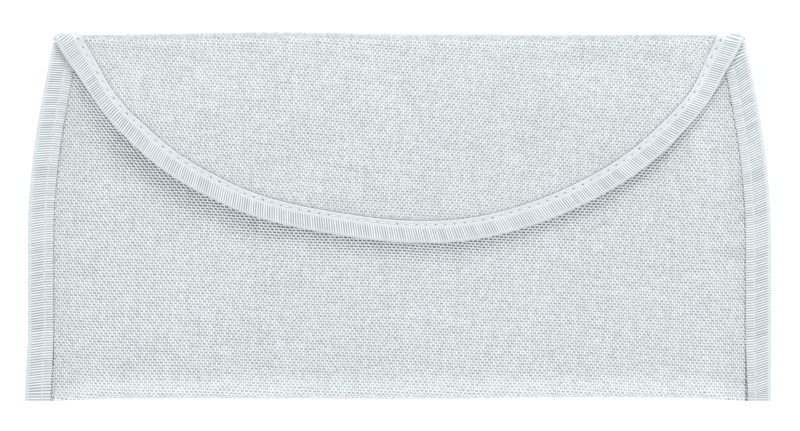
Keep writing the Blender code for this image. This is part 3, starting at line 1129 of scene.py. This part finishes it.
def make_floor():
    """The floor, a little below the cloth that lies on it."""
    half = FLOOR_HALF
    mesh = bpy.data.meshes.new("floor")
    corners = [(-half, -half), (half, -half), (half, half), (-half, half)]
    mesh.from_pydata([(*corner, -FLOOR_CLEARANCE) for corner in corners], [], [(0, 1, 2, 3)])
    mesh.materials.append(floor_material())
    floor = bpy.data.objects.new("floor", mesh)
    bpy.context.scene.collection.objects.link(floor)


def make_camera():
    """Straight above, with +Y up, framed as the photograph."""
    frame_width = FRAME_PIXELS * PIXEL_LENGTH
    camera = bpy.data.cameras.new("camera")
    camera.sensor_width = 36.0
    camera.lens = camera.sensor_width * (CAMERA_PLACE[2] - FOCUS_LEVEL) / frame_width
    camera.clip_end = 10.0
    holder = bpy.data.objects.new("camera", camera)
    holder.location = CAMERA_PLACE
    bpy.context.scene.collection.objects.link(holder)
    bpy.context.scene.camera = holder


def area_light(name, location, size, power):
    light = bpy.data.lights.new(name, "AREA")
    light.shape = "DISK"
    light.size = size
    light.energy = power
    holder = bpy.data.objects.new(name, light)
    holder.location = location
    holder.rotation_euler = (-Vector(location)).to_track_quat("-Z", "Y").to_euler()
    bpy.context.scene.collection.objects.link(holder)


def make_lights():
    area_light("key", KEY_PLACE, KEY_SIZE, KEY_POWER)
    area_light("front_fill", FILL_PLACE, FILL_SIZE, FILL_POWER)
    make_tent()
    bpy.context.scene.view_settings.view_transform = "Standard"


def make_tent():
    """The glow of a light tent: brighter walls low down, and a dimmer top."""
    world = bpy.data.worlds.new("light_tent")
    world.use_nodes = True
    tree = world.node_tree
    glow = tree.nodes["Background"]
    glow.inputs["Color"].default_value = (0.97, 0.99, 1.0, 1.0)
    direction = tree.nodes.new("ShaderNodeTexCoord")
    split = tree.nodes.new("ShaderNodeSeparateXYZ")
    tree.links.new(direction.outputs["Generated"], split.inputs[0])
    level = tree.nodes.new("ShaderNodeMapRange")
    level.interpolation_type = "SMOOTHSTEP"
    tree.links.new(split.outputs[2], level.inputs["Value"])
    level.inputs["From Max"].default_value = TENT_WALL_HEIGHT
    level.inputs["To Min"].default_value = TENT_WALL_GLOW
    level.inputs["To Max"].default_value = TENT_TOP_GLOW
    tree.links.new(level.outputs[0], glow.inputs["Strength"])
    bpy.context.scene.world = world


# Assembly


def main():
    cloth_look = cloth_material()
    tape_look = tape_material()
    thread_look = thread_material()

    flap_path = EdgePath(flap_edge_path())
    left_path = EdgePath(side_edge_path(-1))
    right_path = EdgePath(side_edge_path(1), -1.0)
    flap_place = flap_placer(flap_path)
    left_place = side_placer(left_path, LEFT_FLARE, 0.0)
    right_place = side_placer(right_path, 0.0, RIGHT_PINCH)

    cloth = make_cloth(cloth_look, flap_path)
    side_section = tape_section(
        SIDE_TAPE_WIDTH, SIDE_STITCH_INSET, SIDE_STITCH_INSET, 0.0, SEAM_TOP_Z, 0.85, 0.0004
    )
    flap_reach = CLOTH / 2 + GAP + TAPE
    flap_section = tape_section(
        FLAP_TAPE_WIDTH, FLAP_STITCH_INSET, FLAP_RIBS_END, -flap_reach, flap_reach, 0.15, 0.0007
    )
    left = make_tape(
        "left_tape",
        "left_binding",
        left_path,
        left_place,
        side_section,
        LEFT_RIB_PITCH,
        left_slant,
        0.06,
        tape_look,
    )
    right = make_tape(
        "right_tape",
        "right_binding",
        right_path,
        right_place,
        side_section,
        RIGHT_RIB_PITCH,
        right_slant,
        0.02,
        tape_look,
    )
    round_flap = make_tape(
        "flap_tape",
        "flap_binding",
        flap_path,
        flap_place,
        flap_section,
        FLAP_RIB_PITCH,
        flap_slant,
        0.0,
        tape_look,
    )
    knots = []
    for index in range(TACK_LOOPS):
        x = TACK_START[0] + TACK_ZIGZAG * (index % 2) + TACK_STEP[0] * index
        knots.append((x, TACK_START[1] + TACK_STEP[1] * index))
    left_stitches = make_side_stitches("left_stitches", left_path, left_place, thread_look, knots)
    right_stitches = make_side_stitches("right_stitches", right_path, right_place, thread_look, [])
    flap_stitches = make_flap_stitches(flap_path, flap_place, thread_look)

    patch_y = TOP_Y - PATCH_BELOW_FOLD
    base_z = FRONT_Z + CLOTH / 2 + GAP
    half = PATCH_THICKNESS / 2
    rounded_pad(
        "fastener_hooks",
        (PATCH_SHIFT, patch_y, base_z + half / 2),
        PATCH_WIDTH,
        PATCH_HEIGHT,
        half,
        fastener_material("fastener_hooks", 2200.0, (0.60, 0.64, 0.66)),
        ("closure_patch",),
    )
    rounded_pad(
        "fastener_loops",
        (PATCH_SHIFT, patch_y, base_z + half * 1.5),
        PATCH_WIDTH,
        PATCH_HEIGHT,
        half,
        fastener_material("fastener_loops", 1400.0, (0.66, 0.70, 0.72)),
        (),
    )

    make_floor()
    make_camera()
    make_lights()


main()
